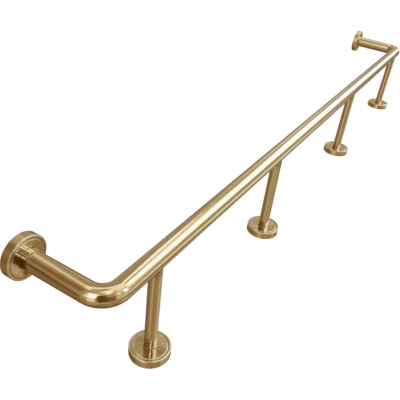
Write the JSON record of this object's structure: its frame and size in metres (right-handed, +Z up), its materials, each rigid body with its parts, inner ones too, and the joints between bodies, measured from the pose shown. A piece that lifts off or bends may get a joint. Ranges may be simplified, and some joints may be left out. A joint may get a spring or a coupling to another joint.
{
  "type": "bar foot rail",
  "caption": "Bent brass foot rail on four upright legs, with both ends returned to a wall and sliding round covers over screwed base plates.",
  "frame": {"origin": "on the floor, under the middle of the whole object's box", "axes": "+X along the rail to the right end seen from the room, +Y towards the wall, +Z up"},
  "size_m": [1.932, 0.22, 0.273],
  "materials": {
    "tube_brass": "fine brushed, semi-gloss",
    "cover_brass": "fine brushed band, polished edge and face",
    "plate_steel": "turned stainless steel",
    "plug_aluminium": "turned",
    "fastener_steel": "zinc plated"
  },
  "bodies": {
    "frame": {"rail_tube": "tube_brass", "leg_tube_1": "tube_brass", "leg_tube_2": "tube_brass", "leg_tube_3": "tube_brass", "leg_tube_4": "tube_brass", "leg_plug_1": "plug_aluminium", "leg_plug_2": "plug_aluminium", "leg_plug_3": "plug_aluminium", "leg_plug_4": "plug_aluminium", "floor_base_plate_1": "plate_steel", "floor_base_plate_2": "plate_steel", "floor_base_plate_3": "plate_steel", "floor_base_plate_4": "plate_steel", "wall_base_plate_left": "plate_steel", "wall_base_plate_right": "plate_steel", "rail_rivet_nuts": "fastener_steel", "leg_screws": "fastener_steel", "leg_washers": "fastener_steel", "floor_grub_screws": "fastener_steel", "wall_grub_screws": "fastener_steel"},
    "floor_cover_1": {"floor_cover_1": "cover_brass"},
    "floor_cover_2": {"floor_cover_2": "cover_brass"},
    "floor_cover_3": {"floor_cover_3": "cover_brass"},
    "floor_cover_4": {"floor_cover_4": "cover_brass"},
    "wall_cover_left": {"wall_cover_left": "cover_brass"},
    "wall_cover_right": {"wall_cover_right": "cover_brass"}
  },
  "joints": [
    {"name": "floor_cover_1_lift", "type": "slide", "parent": "frame", "child": "floor_cover_1", "axis": [0, 0, 1], "range_m": [0, 0.195]},
    {"name": "floor_cover_2_lift", "type": "slide", "parent": "frame", "child": "floor_cover_2", "axis": [0, 0, 1], "range_m": [0, 0.195]},
    {"name": "floor_cover_3_lift", "type": "slide", "parent": "frame", "child": "floor_cover_3", "axis": [0, 0, 1], "range_m": [0, 0.195]},
    {"name": "floor_cover_4_lift", "type": "slide", "parent": "frame", "child": "floor_cover_4", "axis": [0, 0, 1], "range_m": [0, 0.195]},
    {"name": "wall_cover_left_pull", "type": "slide", "parent": "frame", "child": "wall_cover_left", "axis": [0, -1, 0], "range_m": [0, 0.12]},
    {"name": "wall_cover_right_pull", "type": "slide", "parent": "frame", "child": "wall_cover_right", "axis": [0, -1, 0], "range_m": [0, 0.12]}
  ]
}
